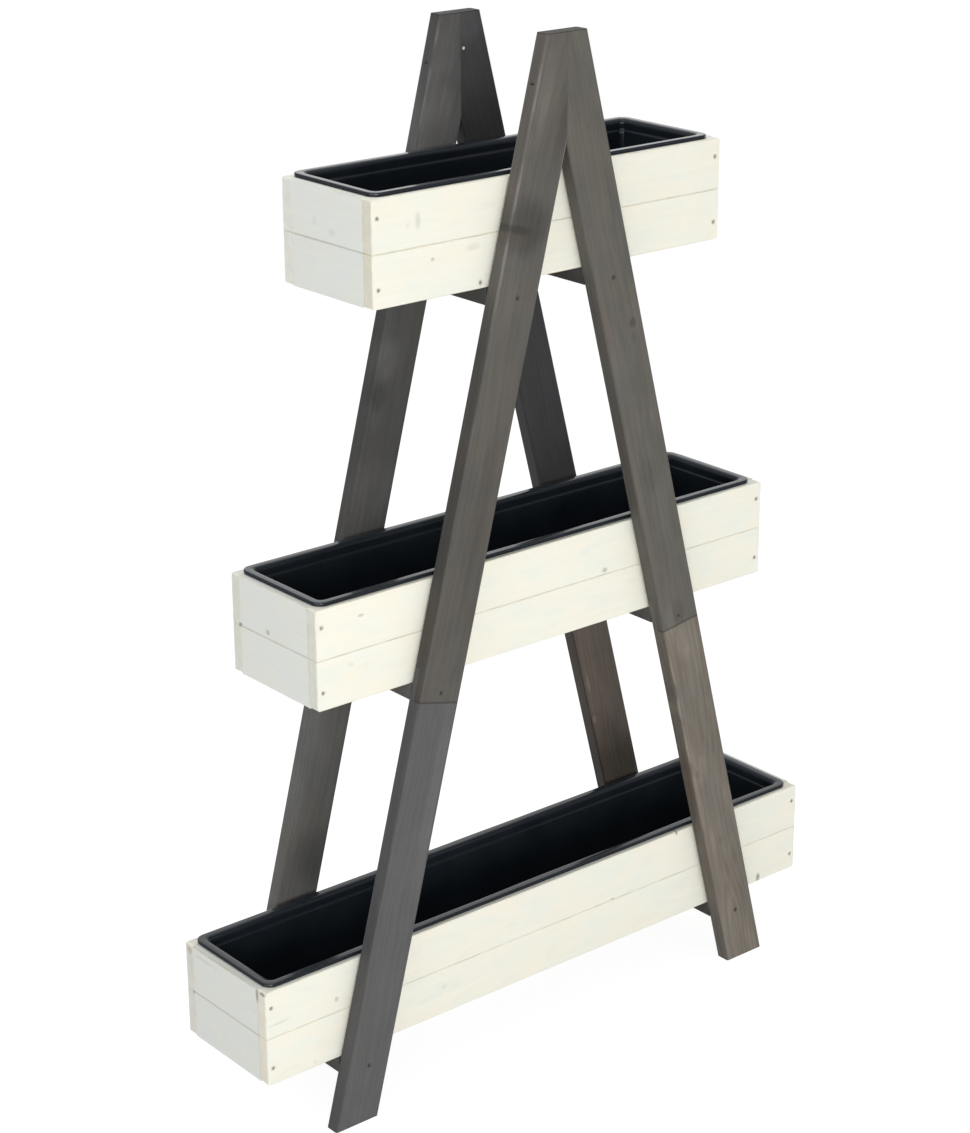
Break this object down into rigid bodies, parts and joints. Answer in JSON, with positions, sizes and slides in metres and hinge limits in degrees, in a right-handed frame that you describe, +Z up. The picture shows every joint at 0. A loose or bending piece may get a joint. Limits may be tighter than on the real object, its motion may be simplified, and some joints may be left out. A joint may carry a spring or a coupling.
{
  "type": "plant ladder stand",
  "caption": "Free-standing ladder of leaning wooden frames that carries long white planter boxes, the widest at the foot, each with a black plastic liner that lifts out.",
  "frame": {"origin": "on the floor, midway between the feet, at the centre of the bounding box's base", "axes": "+Z up; X along the planter boxes, left to right seen from the front; the front of the stand faces -Y"},
  "size_m": [1.005, 0.238, 1.454],
  "materials": {
    "grey_stained_lath": "thin grey stain over planed softwood, satin",
    "brown_grey_stained_lath": "thin grey stain with the brown wood showing through, satin",
    "dark_stained_lath": "grey stain, matt",
    "white_painted_board": "cream white paint over softwood, faint grain, satin",
    "white_painted_slat": "cream white paint, matt",
    "black_liner_plastic": "moulded, semi-gloss",
    "black_screw": "black, matt",
    "bright_nail": "bright",
    "dull_nail": "dull, a little rusty"
  },
  "bodies": {
    "stand": {"front_left_upper_leg": "grey_stained_lath", "front_right_upper_leg": "grey_stained_lath", "rear_left_upper_leg": "grey_stained_lath", "rear_right_upper_leg": "grey_stained_lath", "front_left_lower_leg": "brown_grey_stained_lath", "front_right_lower_leg": "brown_grey_stained_lath", "rear_left_lower_leg": "brown_grey_stained_lath", "rear_right_lower_leg": "brown_grey_stained_lath", "bottom_left_bearer": "dark_stained_lath", "bottom_right_bearer": "dark_stained_lath", "middle_left_bearer": "dark_stained_lath", "middle_right_bearer": "dark_stained_lath", "top_left_bearer": "dark_stained_lath", "top_right_bearer": "dark_stained_lath", "bottom_front_upper_board": "white_painted_board", "bottom_front_lower_board": "white_painted_board", "bottom_rear_upper_board": "white_painted_board", "bottom_rear_lower_board": "white_painted_board", "bottom_left_upper_board": "white_painted_board", "bottom_left_lower_board": "white_painted_board", "bottom_right_upper_board": "white_painted_board", "bottom_right_lower_board": "white_painted_board", "middle_front_upper_board": "white_painted_board", "middle_front_lower_board": "white_painted_board", "middle_rear_upper_board": "white_painted_board", "middle_rear_lower_board": "white_painted_board", "middle_left_upper_board": "white_painted_board", "middle_left_lower_board": "white_painted_board", "middle_right_upper_board": "white_painted_board", "middle_right_lower_board": "white_painted_board", "top_front_upper_board": "white_painted_board", "top_front_lower_board": "white_painted_board", "top_rear_upper_board": "white_painted_board", "top_rear_lower_board": "white_painted_board", "top_left_upper_board": "white_painted_board", "top_left_lower_board": "white_painted_board", "top_right_upper_board": "white_painted_board", "top_right_lower_board": "white_painted_board", "bottom_left_slat": "white_painted_slat", "bottom_right_slat": "white_painted_slat", "middle_left_slat": "white_painted_slat", "middle_right_slat": "white_painted_slat", "top_left_slat": "white_painted_slat", "top_right_slat": "white_painted_slat", "bearer_screws": "black_screw", "box_screws": "black_screw", "mitre_screws": "black_screw", "apex_nails": "bright_nail", "bottom_box_nails": "dull_nail", "middle_box_nails": "dull_nail", "top_box_nails": "dull_nail"},
    "top_liner_body": {"top_liner": "black_liner_plastic"},
    "middle_liner_body": {"middle_liner": "black_liner_plastic"},
    "bottom_liner_body": {"bottom_liner": "black_liner_plastic"}
  },
  "joints": [
    {"name": "top_liner_lift", "type": "slide", "parent": "stand", "child": "top_liner_body", "axis": [0, 0, 1], "range_m": [0, 0.305]},
    {"name": "middle_liner_lift", "type": "slide", "parent": "stand", "child": "middle_liner_body", "axis": [0, 0, 1], "range_m": [0, 0.15]},
    {"name": "bottom_liner_lift", "type": "slide", "parent": "stand", "child": "bottom_liner_body", "axis": [0, 0, 1], "range_m": [0, 0.15]}
  ]
}
